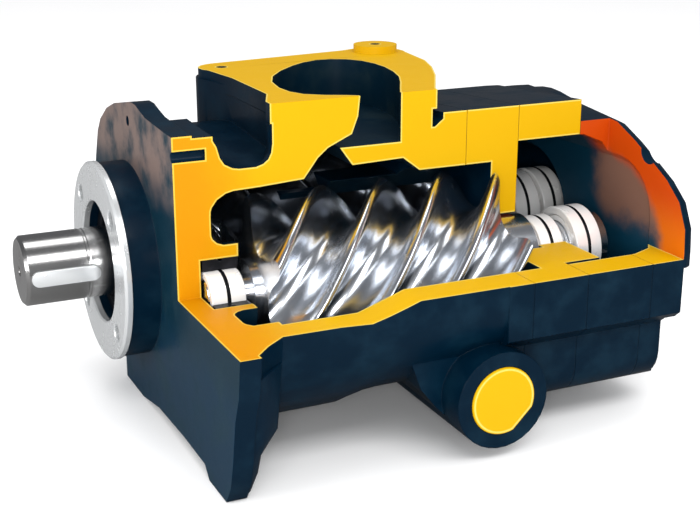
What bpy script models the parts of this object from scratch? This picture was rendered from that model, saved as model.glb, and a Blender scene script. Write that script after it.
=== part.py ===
"""A sectioned twin-screw compressor air end: castings, two meshing rotors, bearings and covers.

Lengths below are in millimetres. X runs along the shafts from the drive end to the discharge end,
Y away from the open side and Z up, all measured from the male rotor's axis at the drive flange.
The whole machine hangs from one empty, which puts the middle of its footprint at the origin.
"""

import math

import bmesh
import bpy
import numpy as np

MM = 0.001
NAME = "screw_compressor_air_end"

# The overall box, which places the model on the floor
SHAFT_TIP_X = -60.0
COVER_END_X = 485.0
NEAR_SIDE_Y = -267.5
FAR_SIDE_Y = 121.0
AXIS_HEIGHT = 128.0

# Rotors and the bores that hold them
CENTRE_DISTANCE = 128.0
MALE_LOBES = 4
FEMALE_FLUTES = 6
MALE_TIP = 81.0
MALE_ROOT = 46.0
FEMALE_TIP = 80.0
LOBE_FULLNESS = 0.8
MESH_GAP = 2.0
BORE_RADIUS = 83.6
ROTOR_START = 97.0
ROTOR_END = 318.0
MALE_WRAP = math.radians(347)
ROTOR_STATIONS = 28
MALE_POINTS = 56
FEMALE_POINTS = 60

# Joints between the castings
FLANGE_FACE = 37.6
FLANGE_BACK = 54.0
FLANGE_BOTTOM = -127.4
HOUSING_END = 294.5
PLATE_START = 294.8
PLATE_END = 345.5
CASE_START = 345.8
CASE_END = 409.0
COVER_START = 409.3
COVER_BACK = 452.0
FIT = 0.3

# The open quarter: everything nearer than the female axis and above the rim
RIM_LOW = 0.0
RIM_HIGH = 12.7
RIM_STEP = (154.0, 194.0)
WINDOW_END = 440.0

# Casting outlines
FAR_RADIUS = 121.0
BARREL_FAR = 111.0
TOP_NEAR = 131.0
BELT_BOTTOM = -34.0
NEAR_LOWER = 12.0
INLET_EAR = (310.0, 79.0)
CASE_BOTTOM = -100.0
LOW_CORNER = 28.0
INLET_TOP = 150.0

# Discharge boss, seen as a round yellow face low on the open side
BOSS_X = 262.0
BOSS_Z = -77.0
BOSS_RADIUS = 40.5
BOSS_FACE = -253.0

# Steel nose ring on the hub at the drive end
RING_FACE = 7.0
RING_BACK = 13.0
RING_OUTER = 86.0
RING_INNER = 52.4
RING_BOLT_CIRCLE = 69.5
HUB_RADIUS = 84.5

MATERIALS = {
    "body_paint": ((0.004, 0.022, 0.036), 0.28, 0.0),
    "cover_paint": ((0.50, 0.12, 0.01), 0.4, 0.0),
    "section_paint": ((0.93, 0.52, 0.0), 0.45, 0.0),
    "machined_steel": ((0.60, 0.60, 0.63), 0.25, 1.0),
    "polished_steel": ((0.85, 0.85, 0.87), 0.08, 1.0),
    "seal_black": ((0.02, 0.02, 0.025), 0.5, 0.0),
}


def clear_scene():
    """Empty the scene, so that only the machine is in it."""
    for item in list(bpy.data.objects):
        bpy.data.objects.remove(item)


def make_collection(name):
    """Return a new collection of this name, linked to the scene."""
    collection = bpy.data.collections.new(name)
    bpy.context.scene.collection.children.link(collection)
    return collection


def make_material(name):
    """Return the named finish as a Principled material."""
    colour, roughness, metallic = MATERIALS[name]
    material = bpy.data.materials.new(name)
    material.use_nodes = True
    shader = material.node_tree.nodes["Principled BSDF"]
    shader.inputs["Base Color"].default_value = (*colour, 1.0)
    shader.inputs["Roughness"].default_value = roughness
    shader.inputs["Metallic"].default_value = metallic
    material.diffuse_color = (*colour, 1.0)
    return material


def make_empty(name, place, parent=None):
    """Return an empty at this place in millimetres."""
    empty = bpy.data.objects.new(name, None)
    empty.location = [value * MM for value in place]
    empty.parent = parent
    PARTS.objects.link(empty)
    return empty


def finish_mesh(name, bm):
    """Turn a bmesh in millimetres into a closed mesh in metres that faces outwards."""
    bmesh.ops.remove_doubles(bm, verts=bm.verts, dist=0.01)
    bmesh.ops.recalc_face_normals(bm, faces=bm.faces)
    bmesh.ops.scale(bm, vec=(MM, MM, MM), verts=bm.verts)
    mesh = bpy.data.meshes.new(name)
    bm.to_mesh(mesh)
    bm.free()
    return mesh


def part(name, mesh, finish, parent):
    """Place a mesh as a named part in one finish."""
    item = bpy.data.objects.new(name, mesh)
    mesh.materials.append(FINISHES[finish])
    item.parent = parent
    PARTS.objects.link(item)
    return item


def helper(name, mesh, parent):
    """Place a mesh as a hidden shape that only adds to or cuts another."""
    item = bpy.data.objects.new(name, mesh)
    item.parent = parent
    item.hide_render = True
    item.display_type = "WIRE"
    CUTTERS.objects.link(item)
    return item


def boolean(item, other, operation):
    """Add an exact Boolean of this kind to the item."""
    modifier = item.modifiers.new(f"{operation.lower()} {other.name}", "BOOLEAN")
    modifier.operation = operation
    modifier.solver = "EXACT"
    modifier.object = other


def add(item, *others):
    """Join hidden shapes onto the item."""
    for other in others:
        boolean(item, other, "UNION")


def cut(item, *others):
    """Cut hidden shapes out of the item."""
    for other in others:
        boolean(item, other, "DIFFERENCE")


def smooth(item, angle=35):
    """Shade round faces smooth and keep the edges sharp."""
    item.data.shade_smooth()
    item.data.set_sharp_from_angle(angle=math.radians(angle))


def arc(centre, radius, start, end, steps):
    """Return points on an arc, its angles in degrees."""
    angles = np.radians(np.linspace(start, end, steps + 1))
    return [
        (centre[0] + radius * math.cos(a), centre[1] + radius * math.sin(a)) for a in angles
    ]


def slab(name, outline, axis, low, high):
    """Return the mesh of a flat outline pushed along an axis.

    The outline holds (y, z) for axis 0, (x, z) for axis 1 and (x, y) for axis 2.
    """
    places = {
        0: lambda u, v: (low, u, v),
        1: lambda u, v: (u, low, v),
        2: lambda u, v: (u, v, low),
    }[axis]
    bm = bmesh.new()
    corners = [bm.verts.new(places(u, v)) for u, v in outline]
    face = bm.faces.new(corners)
    grown = bmesh.ops.extrude_face_region(bm, geom=[face])
    moved = [v for v in grown["geom"] if isinstance(v, bmesh.types.BMVert)]
    step = [0.0, 0.0, 0.0]
    step[axis] = high - low
    bmesh.ops.translate(bm, vec=step, verts=moved)
    return finish_mesh(name, bm)


def turned(name, profile, steps=48, centre=(0.0, 0.0), ring=False):
    """Return the mesh of (x, radius) points spun round an axis along X.

    A ring's profile closes on itself. Any other starts and ends on the axis.
    """
    bm = bmesh.new()
    points = [bm.verts.new((x, centre[0], centre[1] + r)) for x, r in profile]
    edges = [bm.edges.new(pair) for pair in zip(points, points[1:])]
    if ring:
        edges.append(bm.edges.new((points[-1], points[0])))
    bmesh.ops.spin(
        bm,
        geom=points + edges,
        cent=(0.0, centre[0], centre[1]),
        axis=(1.0, 0.0, 0.0),
        angle=math.tau,
        steps=steps,
        use_duplicate=False,
    )
    return finish_mesh(name, bm)


def rod(name, radius, low, high, centre=(0.0, 0.0), steps=48, chamfer=0.0):
    """Return the mesh of a solid bar along X, its ends chamfered if asked."""
    profile = [
        (low, 0.0),
        (low, radius - chamfer),
        (low + chamfer, radius),
        (high - chamfer, radius),
        (high, radius - chamfer),
        (high, 0.0),
    ]
    return turned(name, profile, steps, centre)


def collar(name, inner, outer, low, high, centre=(0.0, 0.0), steps=48, chamfer=1.0):
    """Return the mesh of a ring round X with chamfered outer edges."""
    profile = [
        (low, inner),
        (low, outer - chamfer),
        (low + chamfer, outer),
        (high - chamfer, outer),
        (high, outer - chamfer),
        (high, inner),
    ]
    return turned(name, profile, steps, centre, ring=True)


def loft(name, sections, split=False):
    """Return the mesh of a skin through closed sections, split into triangles if it twists."""
    bm = bmesh.new()
    rings = [[bm.verts.new(point) for point in section] for section in sections]
    count = len(rings[0])
    for first, second in zip(rings, rings[1:]):
        for i in range(count):
            j = (i + 1) % count
            bm.faces.new((first[i], first[j], second[j], second[i]))
    bm.faces.new(rings[0])
    bm.faces.new(rings[-1])
    if split:
        bmesh.ops.triangulate(bm, faces=bm.faces)
    return finish_mesh(name, bm)


def at_x(outline, x):
    """Return a (y, z) outline as points at one x."""
    return [(x, y, z) for y, z in outline]


def post(name, radius, centre, low, high, steps=32):
    """Return the mesh of an upright bar."""
    return slab(name, arc(centre, radius, 0, 360 - 360 / steps, steps - 1), 2, low, high)


def case_outline():
    """Return the (y, z) outline shared by the end plate and the bearing case."""
    near = -CENTRE_DISTANCE - 113.5
    corner = 104.0
    low_near = near + NEAR_LOWER
    return (
        arc((0.0, 0.0), FAR_RADIUS, -70, 85, 14)
        + arc((near + corner, TOP_NEAR - corner), corner, 90, 180, 9)
        + [(near, BELT_BOTTOM), (low_near, BELT_BOTTOM - 10.0)]
        + arc((low_near + LOW_CORNER, CASE_BOTTOM + LOW_CORNER), LOW_CORNER, 180, 270, 7)
    )


def cover_outline():
    """Return the (y, z) outline of the end cover, which falls away towards the open side."""
    near = -CENTRE_DISTANCE - 113.5
    low_near = near + NEAR_LOWER
    shoulder = [(-60, 117), (-139, 110), (-165, 99), (-190, 86), (-212, 74), (-230, 59), (-240, 38)]
    return (
        arc((0.0, 0.0), FAR_RADIUS - 2.0, -70, 85, 14)
        + shoulder
        + [(near, 19.0), (near, BELT_BOTTOM), (low_near, BELT_BOTTOM - 10.0)]
        + arc((low_near + LOW_CORNER, CASE_BOTTOM + LOW_CORNER), LOW_CORNER, 180, 270, 7)
    )


def shrunk(outline, amount):
    """Return an outline drawn in by a distance along the normals of its corners."""
    points = np.array(outline, float)
    before = points - np.roll(points, 1, axis=0)
    after = np.roll(points, -1, axis=0) - points
    run = before / np.linalg.norm(before, axis=1)[:, None]
    run += after / np.linalg.norm(after, axis=1)[:, None]
    run /= np.linalg.norm(run, axis=1)[:, None]
    inward = np.stack([-run[:, 1], run[:, 0]], axis=1)
    return [tuple(point) for point in points + inward * amount]


def barrel_outline(near, low, top=101.0, far=BARREL_FAR):
    """Return the barrel's (y, z) outline from its half-widths, its depth and its near top."""
    far_side = [
        (far * math.cos(a), (far if a > 0 else low) * math.sin(a))
        for a in np.radians(np.linspace(-90, 90, 19))
    ]
    near_side = [
        (-CENTRE_DISTANCE + near * math.cos(a), (top if a < math.pi else low) * math.sin(a))
        for a in np.radians(np.linspace(90, 270, 19))
    ]
    return far_side + near_side


def window(parent):
    """Return the cutter of the removed quarter, with its step in the rim."""
    outline = [
        (-20.0, RIM_LOW),
        (RIM_STEP[0], RIM_LOW),
        (RIM_STEP[1], RIM_HIGH),
        (WINDOW_END, RIM_HIGH),
        (WINDOW_END, 220.0),
        (-20.0, 220.0),
    ]
    mesh = slab("window_cut", outline, 1, -320.0, -CENTRE_DISTANCE)
    return helper("window_cut", mesh, parent)


def male_radius(angle):
    """Return the male rotor's radius at an angle from a lobe's crest."""
    wave = 0.5 + 0.5 * np.cos(MALE_LOBES * angle)
    return MALE_ROOT + (MALE_TIP - MALE_ROOT) * wave**LOBE_FULLNESS


def female_radii(points):
    """Return the female rotor's radius at equal steps of angle from a flute's middle.

    The female is a disc less the space that the turning male sweeps through it, plus the gap.
    """
    fine = np.linspace(0, math.tau, 2880, endpoint=False)
    reach = male_radius(fine) + MESH_GAP
    pitch = math.tau / FEMALE_FLUTES
    bins = 180
    best = np.full(bins, FEMALE_TIP)
    for turn in np.linspace(-math.pi / MALE_LOBES, math.pi / MALE_LOBES, 241):
        across = CENTRE_DISTANCE + reach * np.cos(fine + turn)
        up = reach * np.sin(fine + turn)
        radius = np.hypot(across, up)
        angle = np.arctan2(up, across) + turn * MALE_LOBES / FEMALE_FLUTES
        close = radius < FEMALE_TIP
        slot = (angle[close] % pitch / pitch * bins).astype(int) % bins
        np.minimum.at(best, slot, radius[close])
    even = sum(np.roll(best, shift) for shift in range(-3, 4)) / 7
    even -= (even - best).max()
    angles = np.arange(points) * math.tau / points
    return np.interp(angles % pitch, (np.arange(bins) + 0.5) * pitch / bins, even, period=pitch)


def helical(name, radii, first_angle, wrap, centre_y):
    """Return the mesh of a rotor body: one cross-section carried along X while it turns."""
    count = len(radii)
    base = first_angle + np.arange(count) * math.tau / count
    sections = []
    for station in np.linspace(0.0, 1.0, ROTOR_STATIONS):
        x = ROTOR_START + station * (ROTOR_END - ROTOR_START)
        angles = base + station * wrap
        sections.append(
            [
                (x, centre_y + r * math.cos(a), r * math.sin(a))
                for r, a in zip(radii, angles)
            ]
        )
    return loft(name, sections)


def rotor_housing(parent, opening):
    """Build the main casting: drive flange, barrel, suction chamber, inlet neck and foot."""
    stations = [
        (50.0, 107.0, 99.0),
        (130.0, 108.0, 98.5),
        (148.0, 110.5, 97.5),
        (168.0, 113.0, 90.5),
        (182.0, 113.5, 88.8),
        (235.0, 113.5, 88.6),
        (HOUSING_END - 6.0, 113.5, 95.0),
    ]
    sections = [at_x(barrel_outline(near, low), x) for x, near, low in stations]
    housing = part("rotor_housing", loft("rotor_housing", sections), "body_paint", parent)

    flange = (
        [(41, FLANGE_BOTTOM), (41, -106), (72, -92), (104, -50), (116, -10), (119, 25), (117, 45)]
        + [(109, 68), (97, 93), (85, 106), (61, 120), (34, 129), (-18, 139), (-32, 139)]
        + [(-45, 136), (-61, 133), (-98, 131.5), (-150, 130)]
        + [(-215, 105), (-262, 50), (NEAR_SIDE_Y, 0), (-263, -30), (-254, -52), (-246, -90)]
        + [(-240, -111), (-229, FLANGE_BOTTOM), (-190, FLANGE_BOTTOM), (-180, -118), (-130, -117)]
        + [(-60, -119), (-12, FLANGE_BOTTOM)]
    )
    fillet = [
        at_x(barrel_outline(136.0, 113.0, 119.0, 112.0), FLANGE_BACK - 6.0),
        at_x(barrel_outline(134.0, 112.0, 118.0, 112.0), FLANGE_BACK),
        at_x(barrel_outline(121.0, 106.0, 110.0, 111.5), FLANGE_BACK + 12.0),
        at_x(barrel_outline(106.5, 98.2, 100.2, 110.4), FLANGE_BACK + 30.0),
    ]
    thick_top = [(-66, 96), (-66, 131), (-98, 129.3), (-150, 128), (-200, 96)]
    web_fillet = [(62, 95), (62, 126), (70, 126), (73.5, 120), (76, 111), (79.5, 105.5), (86, 102)]
    web_fillet += [(96, 100.2), (96, 95)]
    far_foot = [(38, -AXIS_HEIGHT), (-8, -AXIS_HEIGHT), (-12, -90), (38, -88)]
    rear_foot = [(50, -AXIS_HEIGHT), (-28, -AXIS_HEIGHT), (-22, -90), (44, -90)]
    far_rib = [(50, -118), (65, -118), (80, -106), (100, -100), (118, -84), (50, -70)]
    add(
        housing,
        helper("flange_plate", slab("f", flange, 0, FLANGE_FACE, FLANGE_BACK), parent),
        helper("flange_fillet", loft("ff", fillet), parent),
        helper("flange_top", slab("ft", thick_top, 0, FLANGE_BACK - 4, 70.6), parent),
        helper("web_fillet", slab("wf", web_fillet, 1, -152.0, -68.0), parent),
        helper("near_foot", near_foot_mesh(), parent),
        helper("far_foot", slab("fo", far_foot, 0, FLANGE_BACK - 4, 66.0), parent),
        helper("rear_foot", slab("rf", rear_foot, 0, 262.0, HOUSING_END - 1.0), parent),
        helper("far_rib", slab("fr", far_rib, 1, 3.3, 28.7), parent),
        helper("hub", rod("h", HUB_RADIUS, RING_BACK + FIT, 46.0, steps=64), parent),
    )

    top = (
        [(117, -150), (118.5, -118), (131, -88), (131.5, -6)]
        + arc((145.5, 53), 23.6, 215, 95, 6)
        + [(282, 97)]
        + arc((306, 74), 31, 95, -22, 6)
        + [(328, 10), (316, -26), (298, -66), (267, -123), (261, -150)]
    )
    neck = (
        [(119.6, -145), (119.6, -116), (132.2, -86), (132.6, -5)]
        + arc((143.4, 53), 23.8, 212, 97, 5)
        + [(270, 84), (290, 66), (292, 48), (292, -52), (286, -76), (263.5, -118), (259, -145)]
    )
    top_fillet = [(257, 110), (257, 118.4), (263.5, 118.4), (268, 122), (273.5, 126.2), (273.5, 110)]
    add(
        housing,
        helper("inlet_neck", slab("in", neck, 2, 60.0, INLET_TOP - 8), parent),
        helper("inlet_top", slab("it", top, 2, INLET_TOP - 16, INLET_TOP), parent),
        helper("neck_fillet", neck_fillet_mesh(), parent),
        helper("inlet_pad", post("pd", 21.0, INLET_EAR, INLET_TOP - 10, INLET_TOP + 7), parent),
        helper("end_flange", slab("ef", case_outline(), 0, 272.0, HOUSING_END), parent),
        helper(
            "barrel_top",
            slab("bt", [(200, 60), (200, 119), (275, 119), (275, 60)], 1, -175.0, 20.0),
            parent,
        ),
        helper("top_fillet", slab("tf", top_fillet, 1, -172.0, -75.0), parent),
    )

    boss = helper("discharge_boss", discharge_boss_mesh(), parent)
    room = slab("room", shrunk(case_outline(), -1.0), 0, HOUSING_END - 0.2, 340.0)
    cut(boss, helper("plate_room", room, parent))
    duct = [(190, -34), (203, -68), (217, -86), (238, -106), (262, -116), (284, -60), (290, -20)]
    add(
        housing,
        helper("discharge_duct", slab("dd", duct, 1, -226.0, -40.0), parent),
        boss,
    )

    cut(
        housing,
        helper("male_bore", rod("mb", BORE_RADIUS, ROTOR_START - 5, 310.0), parent),
        helper(
            "female_bore",
            rod("fb", BORE_RADIUS, ROTOR_START - 5, 310.0, (-CENTRE_DISTANCE, 0.0)),
            parent,
        ),
        suction_chamber(parent),
    )
    cut(housing, *inlet_passage(parent))
    cut(
        housing,
        helper("hub_bore", rod("hb", RING_INNER, 0.0, FLANGE_FACE - FIT), parent),
        helper("male_pocket", rod("mp", 50.3, 20.0, 110.0), parent),
        helper(
            "female_pocket", rod("fp", 30.3, 57.0, 110.0, (-CENTRE_DISTANCE, 0.0)), parent
        ),
        helper(
            "boss_recess",
            slab("br", blank_outline(28.5), 1, BOSS_FACE - 5.0, BOSS_FACE + 8.0),
            parent,
        ),
    )
    for index, (y, z) in enumerate([(-7, 121), (96, 40), (-CENTRE_DISTANCE, 115)]):
        hole = rod(f"fh{index}", 4.3, 20.0, 64.0, (y, z), steps=16)
        cut(housing, helper(f"flange_hole_{index + 1}", hole, parent))
    for index, place in enumerate([(143, 53), INLET_EAR]):
        hole = post(f"ih{index}", 5.0, place, INLET_TOP - 12, INLET_TOP + 12, 16)
        cut(housing, helper(f"inlet_hole_{index + 1}", hole, parent))
    for index, place in enumerate(ring_bolts()):
        hole = rod(f"hh{index}", 6.0, RING_BACK - 5.0, 31.0, place, steps=16)
        cut(housing, helper(f"hub_hole_{index + 1}", hole, parent))
    cut(housing, opening)
    smooth(housing)


def neck_fillet_mesh():
    """Return the fillet at the foot of the inlet neck, which fades out along the neck's side."""
    end = (124.0, 95.0)
    profile = [(106, 95), (106, 101.2), (111.5, 102.8), (116, 106.2), (118.5, 111), (119.5, 118)]
    profile += [(124, 118), end]
    sections = []
    for y, width, height in ((-150.0, 1.0, 1.0), (-121.0, 1.0, 1.0), (-100.0, 0.2, 0.3)):
        sections.append(
            [(end[0] - (end[0] - x) * width, y, end[1] + (z - end[1]) * height) for x, z in profile]
        )
    return loft("neck_fillet", sections)


def ring_bolts():
    """Return the (y, z) centres of the holes in the nose ring and the hub behind it."""
    return arc((0.0, 0.0), RING_BOLT_CIRCLE, 45, 315, 3)


def near_foot_mesh():
    """Return the gusset that thickens the flange's near foot and ends in its pad."""
    levels = [
        (-20, (50, -262), (56, -260), (66, -250), (82, -234), (82, -190), (50, -190)),
        (-60, (50, -249), (58, -248), (68, -244), (80, -232), (80, -195), (50, -195)),
        (-74, (50, -246), (58, -245), (68, -241), (79, -231), (79, -197), (50, -197)),
        (-91, (50, -243), (54, -243), (60, -240), (64, -235), (64, -199), (50, -199)),
        (-107, (50, -239), (54, -239), (59, -236), (62, -232), (62, -199), (50, -199)),
        (-AXIS_HEIGHT, (44, -226), (50, -226), (56, -224), (60.5, -219), (60.5, -194), (44, -194)),
    ]
    return loft("near_foot", [[(x, y, z) for x, y in corners] for z, *corners in levels])


def discharge_boss_mesh():
    """Return the round boss under the barrel, with a flat facet to stand on."""
    steps = 32
    half = 180 / steps
    outline = arc((BOSS_X, BOSS_Z), BOSS_RADIUS / math.cos(math.radians(half)), half,
                  360 - half, steps - 1)
    return slab("discharge_boss", outline, 1, BOSS_FACE, -44.0)


def blank_outline(radius):
    """Return the outline of the discharge blank: a disc with one corner taken off."""
    return arc((BOSS_X, BOSS_Z), radius, -20, 290, 26)


def suction_chamber(parent):
    """Return the cutter of the space at the rotors' inlet end, less the bearing bosses."""
    outline = (
        arc((0.0, 0.0), 80.0, -90, 90, 12)
        + [(-60, 66), (-CENTRE_DISTANCE, 66)]
        + arc((-CENTRE_DISTANCE, 0.0), 77.0, 122, 270, 10)
    )
    chamber = helper("suction_chamber", slab("sc", outline, 0, 66.8, 100.0), parent)
    roof = [(67, 46), (67, 82), (75, 83.4), (108, 84.6), (148, 87.1), (152, 40), (100, 40)]
    roof_cut = helper("suction_roof", slab("sr", roof, 1, -205.0, 66.0), parent)
    add(chamber, roof_cut)
    female = (-CENTRE_DISTANCE, 0.0)
    round_corner = [(60, 66), (66, 66), (68, 72), (72.5, 78), (80, 82.4), (90, 84.7), (90, 96)]
    round_corner += [(60, 96)]
    boss = [(60, 0), (60, 54), (66, 52), (68, 46.5), (71.5, 43), (77, 41), (88.8, 41), (88.8, 0)]
    cut(
        chamber,
        helper("male_boss", rod("mbo", 60.0, 60.0, 90.0), parent),
        helper("female_boss", turned("fbo", boss, 32, female), parent),
        helper("chamber_corner", turned("rc", round_corner, 32, female, ring=True), parent),
    )
    return chamber


def inlet_passage(parent):
    """Return the cutters of the inlet port and of the slot that leads down to the rotors."""
    port = [(198, -135), (228, -135), (241, -109), (254, -84), (265, -60), (273, -33), (277, -8)]
    port += [(277, 14), (273, 33), (264, 46), (251, 53), (236, 53), (220, 46), (204, 33)]
    port += [(184, 12), (167, -12), (156, -38), (151, -66), (152, -86), (158, -101), (172, -112)]
    port += [(188, -120), (196.5, -126)]
    scroll = [(194, 134), (188.5, 119.8), (167.3, 110.3), (158.5, 103), (145, 85.4), (144, 60)]
    scroll += [(189.4, 60), (189.4, 93.3), (177.8, 109.3), (200, 109.3), (204, 134)]
    relief = [(186, 70), (186, 93.9), (235, 95.4), (252.5, 82), (252.5, 70)]
    right = [(196.5, 156), (194, 134), (190, 122), (200, 109.3), (232.5, 109.3), (232.5, 156)]
    return [
        helper("inlet_port", slab("ip", port, 2, 109.3, INLET_TOP + 8), parent),
        helper("inlet_scroll", slab("is", scroll, 1, -160.0, 4.0), parent),
        helper("inlet_near", slab("ir", right, 1, -160.0, -100.0), parent),
        helper("port_relief", slab("pr", relief, 1, -160.0, -16.0), parent),
    ]


def end_plate(parent, opening):
    """Build the plate that closes the rotor bores and cradles the discharge bearings."""
    plate = part(
        "discharge_end_plate",
        slab("discharge_end_plate", case_outline(), 0, PLATE_START, PLATE_END),
        "body_paint",
        parent,
    )
    male_cradle = arc((0.0, 0.0), 54.0, 183, 357, 14)
    female_cradle = [(-207, -50), (-207, 22), (-129, 22), (-129, -8), (-60, -8), (-60, -86)]
    female_cradle += [(-160, -86)]
    female_end = [(-186, -58), (-186, -10.5), (-66, -10.5), (-66, -80), (-162, -80)]
    female = (-CENTRE_DISTANCE, 0.0)
    add(
        plate,
        helper("male_cradle", slab("mc", male_cradle, 0, PLATE_END - 20, 462.0), parent),
        helper("female_cradle", slab("fc", female_cradle, 0, PLATE_END - 20, 380.0), parent),
        helper("female_end_cradle", slab("fe", female_end, 0, PLATE_END - 10, 415.0), parent),
    )
    cut(
        plate,
        helper("male_bore_end", rod("mbe", BORE_RADIUS, 280.0, ROTOR_END + 1.5, steps=40), parent),
        helper("female_bore_end", rod("fbe", BORE_RADIUS, 280.0, ROTOR_END + 1.5, female, 40), parent),
        helper("male_shaft_hole", rod("msh", 35.0, 280.0, 360.0), parent),
        helper("male_seat", rod("ms", 37.3, 405.0, 480.0), parent),
        helper("male_gap", rod("mg", 34.0, 340.0, 480.0), parent),
        helper("female_shaft_hole", rod("fsh", 36.6, 280.0, 353.0, female, steps=56), parent),
        helper("female_seat_1", rod("fs1", 30.3, 340.0, 440.0, female), parent),
        helper("female_seat_2", rod("fs2", 35.3, 388.5, 430.0, female, steps=40), parent),
        opening,
    )
    smooth(plate)


def bearing_case(parent, opening):
    """Build the ring of casting round the discharge bearings."""
    outline = case_outline()
    case = part(
        "bearing_case",
        slab("bearing_case", outline, 0, CASE_START, CASE_END),
        "body_paint",
        parent,
    )
    cavity = slab("cc", cavity_outline(0.0), 0, CASE_START - 10, CASE_END + 10)
    cut(case, helper("case_cavity", cavity, parent), opening)
    smooth(case)


def cavity_outline(inset):
    """Return the (y, z) outline of the bearing space, drawn in by a distance."""
    outline = (
        arc((0.0, 0.0), 96.0, -68, 84, 12)
        + [(-60, 98.5), (-CENTRE_DISTANCE, 99.5)]
        + arc((-146, 34), 65.5, 90, 180, 7)
        + [(-211.5, -40)]
        + arc((-160, -42), 51.5, 180, 270, 6)
    )
    return shrunk(outline, inset)


def end_cover(parent, opening):
    """Build the dished end cover with its round boss over the male shaft's end."""
    outline = cover_outline()
    cover = part(
        "end_cover",
        loft(
            "end_cover",
            [
                at_x(outline, COVER_START),
                at_x(outline, COVER_BACK - 9.0),
                at_x(shrunk(outline, 3.0), COVER_BACK - 3.0),
                at_x(shrunk(outline, 10.0), COVER_BACK),
            ],
            split=True,
        ),
        "body_paint",
        parent,
    )
    boss = [
        (COVER_BACK - 20, 0.0),
        (COVER_BACK - 20, 117.0),
        (COVER_END_X - 22, 115.5),
        (COVER_END_X - 8, 108.0),
        (COVER_END_X, 88.0),
        (COVER_END_X, 0.0),
    ]
    add(cover, helper("cover_boss", turned("cb", boss), parent))
    cavity = [
        at_x(cavity_outline(0.0), COVER_START - 10),
        at_x(cavity_outline(0.5), COVER_START + 4),
        at_x(cavity_outline(9.0), COVER_START + 24),
        at_x(cavity_outline(22.0), COVER_BACK - 9),
    ]
    lower = [(431, -300), (431, -222), (470, -172), (500, -172), (500, -300)]
    belt = [(441, -300), (441, -236), (476, -192), (500, -192), (500, -300)]
    cut(
        cover,
        helper("cover_cavity", loft("cvc", cavity), parent),
        helper("cover_bore", rod("cvb", 62.0, 420.0, COVER_END_X - 5.5), parent),
        helper("lower_corner", slab("lc", lower, 2, -135.0, BELT_BOTTOM - 6.0), parent),
        helper("belt_end", slab("be", belt, 2, BELT_BOTTOM - 12.0, 5.0), parent),
        helper("rim_notch", rod("rn", 11.0, 400.0, 470.0, (-186.0, 93.0)), parent),
        opening,
    )
    smooth(cover)


def nose(parent):
    """Build the steel nose ring, the seal carrier in it and the blank on the discharge boss."""
    ring = part(
        "nose_ring",
        collar("nose_ring", RING_INNER, RING_OUTER, RING_FACE, RING_BACK, steps=64),
        "polished_steel",
        parent,
    )
    for index, place in enumerate(ring_bolts()):
        hole = rod(f"rh{index}", 8.0, 0.0, RING_BACK + 7.0, place, steps=24)
        cut(ring, helper(f"ring_hole_{index + 1}", hole, parent))
    smooth(ring)

    carrier = turned(
        "seal_carrier",
        [(20, 41.5), (20, RING_INNER - FIT), (37, RING_INNER - FIT), (37, 50.0), (57.5, 50.0),
         (57.5, 41.5)],
        ring=True,
    )
    smooth(part("seal_carrier", carrier, "seal_black", parent))
    blank = slab(
        "discharge_port_blank", blank_outline(28.2), 1, BOSS_FACE - 1.5, BOSS_FACE + 7.7
    )
    smooth(part("discharge_port_blank", blank, "section_paint", parent))


def bearing(name, rings, low, high, fixed, moving, cut_by=None):
    """Build one bearing: an outer ring that stays, and an inner ring that turns.

    The rings are the inner ring's bore and face radii, then the outer ring's.
    """
    bore, track, outer_track, outside = rings
    outer = collar(f"{name}_outer", outer_track, outside, low, high)
    outer_part = part(f"{name}_outer", outer, "polished_steel", fixed)
    if cut_by:
        cut(outer_part, cut_by)
    smooth(outer_part)
    inner = collar(f"{name}_inner", bore, track, low + 0.5, high - 0.5, chamfer=0.8)
    smooth(part(f"{name}_inner", inner, "polished_steel", moving))


def nut(name, bore, across, low, high, parent):
    """Build a round lock nut with four slots for its spanner."""
    item = part(name, collar(name, bore, across, low, high, steps=32), "machined_steel", parent)
    for index in range(4):
        angle = math.pi / 2 * index
        y = across * math.cos(angle)
        z = across * math.sin(angle)
        box = [(y - 3, z - 3), (y + 3, z - 3), (y + 3, z + 3), (y - 3, z + 3)]
        cut(item, helper(f"{name}_slot_{index + 1}", slab("ns", box, 0, low - 3, high + 3), parent))
    smooth(item)


def male_rotor(parent):
    """Build the driven rotor: four lobes on a shaft that reaches out of the drive end."""
    radii = male_radius(np.arange(MALE_POINTS) * math.tau / MALE_POINTS)
    body = helical("male_rotor", radii, math.pi, MALE_WRAP, 0.0)
    rotor = part("male_rotor", body, "polished_steel", parent)
    shaft = [
        (SHAFT_TIP_X, 0.0),
        (SHAFT_TIP_X, 28.0),
        (SHAFT_TIP_X + 2, 30.0),
        (90.5, 30.0),
        (90.5, 40.0),
        (ROTOR_START + 2, 40.0),
        (ROTOR_START + 8, 30.0),
        (ROTOR_END - 2, 28.0),
        (404.0, 28.0),
        (404.0, 24.0),
        (462.0, 24.0),
        (462.0, 20.0),
        (472.0, 20.0),
        (473.0, 19.0),
        (473.0, 0.0),
    ]
    add(rotor, helper("male_shaft", turned("msf", shaft), parent))
    key_slot = [(-54, -4), (-50, -7), (-4, -7), (0, -4), (0, 4), (-4, 7), (-50, 7), (-54, 4)]
    cut(rotor, helper("key_seat", slab("ks", key_slot, 1, -40.0, -26.0), parent))
    smooth(rotor)
    key = slab("drive_key", shrunk(key_slot, 0.4), 1, -31.5, -26.3)
    part("drive_key", key, "machined_steel", parent)
    sleeve = collar("seal_sleeve", 30.3, 36.0, 24.0, 57.5)
    smooth(part("seal_sleeve", sleeve, "machined_steel", parent))
    nut("male_lock_nut", 20.3, 33.0, 462.6, 471.0, parent)


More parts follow.
